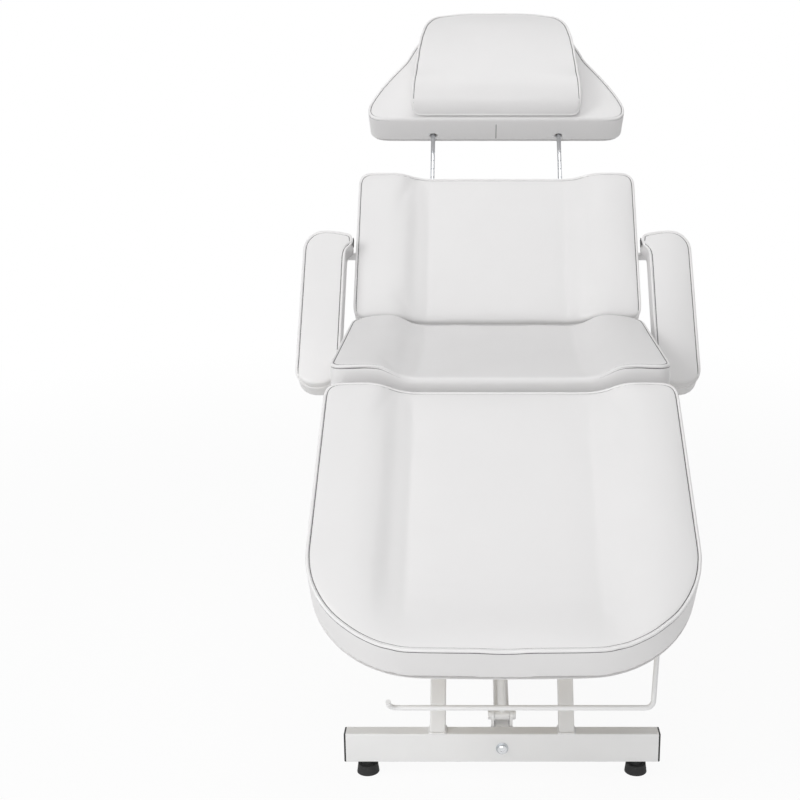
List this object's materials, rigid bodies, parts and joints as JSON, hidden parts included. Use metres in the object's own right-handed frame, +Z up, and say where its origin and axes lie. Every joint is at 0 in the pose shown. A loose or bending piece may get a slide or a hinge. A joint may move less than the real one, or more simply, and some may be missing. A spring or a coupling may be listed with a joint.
{
  "type": "folding massage table",
  "caption": "White upholstered facial and massage bed with a reclining back, dropping leg rest, sliding headrest with pillow, plug-in armrests and paper roll holder on a tube base.",
  "frame": {"origin": "middle of the bed's box on the floor", "axes": "+X to the sitter's left (right in the picture), +Y from foot to head, +Z up"},
  "size_m": [0.81, 1.4574, 1.2265],
  "materials": {
    "vinyl": "satin upholstery vinyl",
    "frame": "white powder coat",
    "board": "raw plywood",
    "chrome": "polished",
    "hardware": "zinc plated",
    "plastic": "moulded",
    "rubber": "matte"
  },
  "bodies": {
    "base": {"front_floor_bar": "frame", "rear_floor_bar": "frame", "base_stretcher": "frame", "stretcher_inserts": "hardware", "stretcher_bolts": "chrome", "bar_end_caps": "plastic", "rubber_feet": "rubber", "front_legs": "frame", "rear_legs": "frame", "centre_post": "frame", "leg_strut_anchor": "frame", "back_strut_anchor": "frame", "leg_strut_foot_pin": "hardware", "back_strut_foot_pin": "hardware", "seat_frame": "frame", "seat_board": "board", "seat_cushion": "vinyl", "leg_hinge_brackets": "frame", "leg_hinge_bolts": "hardware", "back_hinge_brackets": "frame", "back_hinge_bolts": "hardware"},
    "backrest": {"back_frame": "frame", "back_board": "board", "back_cushion": "vinyl", "back_hinge_tabs": "frame", "back_strut_lugs": "frame", "back_strut_pin": "hardware", "headrest_sockets": "frame", "armrest_sockets": "frame"},
    "headrest": {"headrest_rods": "chrome", "headrest_saddles": "frame", "headrest_board": "board", "headrest_cushion": "vinyl", "head_pillow": "vinyl"},
    "armrest_left": {"armrest_left_pad": "vinyl", "armrest_left_bracket": "frame"},
    "armrest_right": {"armrest_right_pad": "vinyl", "armrest_right_bracket": "frame"},
    "leg_rest": {"leg_frame": "frame", "leg_board": "board", "leg_cushion": "vinyl", "leg_hinge_tabs": "frame", "leg_strut_lugs": "frame", "leg_strut_pin": "hardware", "paper_roll_holder": "frame", "holder_plate": "frame"},
    "leg_strut_rod": {"leg_strut_rod": "frame"},
    "leg_strut_sleeve": {"leg_strut_sleeve": "frame"},
    "back_strut_rod": {"back_strut_rod": "frame"},
    "back_strut_sleeve": {"back_strut_sleeve": "frame"}
  },
  "joints": [
    {"name": "back_recline", "type": "hinge", "parent": "base", "child": "backrest", "pos_m": [0, 0.20743, 0.576], "axis": [1, 0, 0], "range_deg": [-51.5, 0]},
    {"name": "leg_lift", "type": "hinge", "parent": "base", "child": "leg_rest", "pos_m": [0, -0.24157, 0.5115], "axis": [-1, 0, 0], "range_deg": [0, 33]},
    {"name": "headrest_slide", "type": "slide", "parent": "backrest", "child": "headrest", "axis": [0, 0.6225, 0.7826], "range_m": [-0.12, 0.04]},
    {"name": "armrest_left_pull", "type": "slide", "parent": "backrest", "child": "armrest_left", "axis": [-1, 0, 0], "range_m": [0, 0.06]},
    {"name": "armrest_right_pull", "type": "slide", "parent": "backrest", "child": "armrest_right", "axis": [1, 0, 0], "range_m": [0, 0.06]},
    {"name": "leg_strut_swing", "type": "hinge", "parent": "base", "child": "leg_strut_rod", "pos_m": [0, -0.51657, 0.086], "axis": [1, 0, 0], "range_deg": [-0.05, 6.02]},
    {"name": "leg_strut_extend", "type": "slide", "parent": "leg_strut_rod", "child": "leg_strut_sleeve", "axis": [0, 0.4623, 0.8867], "range_m": [-0.0002, 0.0444]},
    {"name": "back_strut_swing", "type": "hinge", "parent": "base", "child": "back_strut_rod", "pos_m": [0, 0.22743, 0.3], "axis": [1, 0, 0], "range_deg": [-27.37, 0.05]},
    {"name": "back_strut_extend", "type": "slide", "parent": "back_strut_rod", "child": "back_strut_sleeve", "axis": [0, 0.4556, 0.8902], "range_m": [-0.17379, 0.0002]}
  ],
  "couplings": [
    {"joint": "leg_strut_swing", "follows": "leg_lift", "ratio": 0.18094},
    {"joint": "leg_strut_extend", "follows": "leg_lift", "m_per_rad": 0.076736},
    {"joint": "back_strut_swing", "follows": "back_recline", "ratio": 0.53042},
    {"joint": "back_strut_extend", "follows": "back_recline", "m_per_rad": 0.19313}
  ]
}
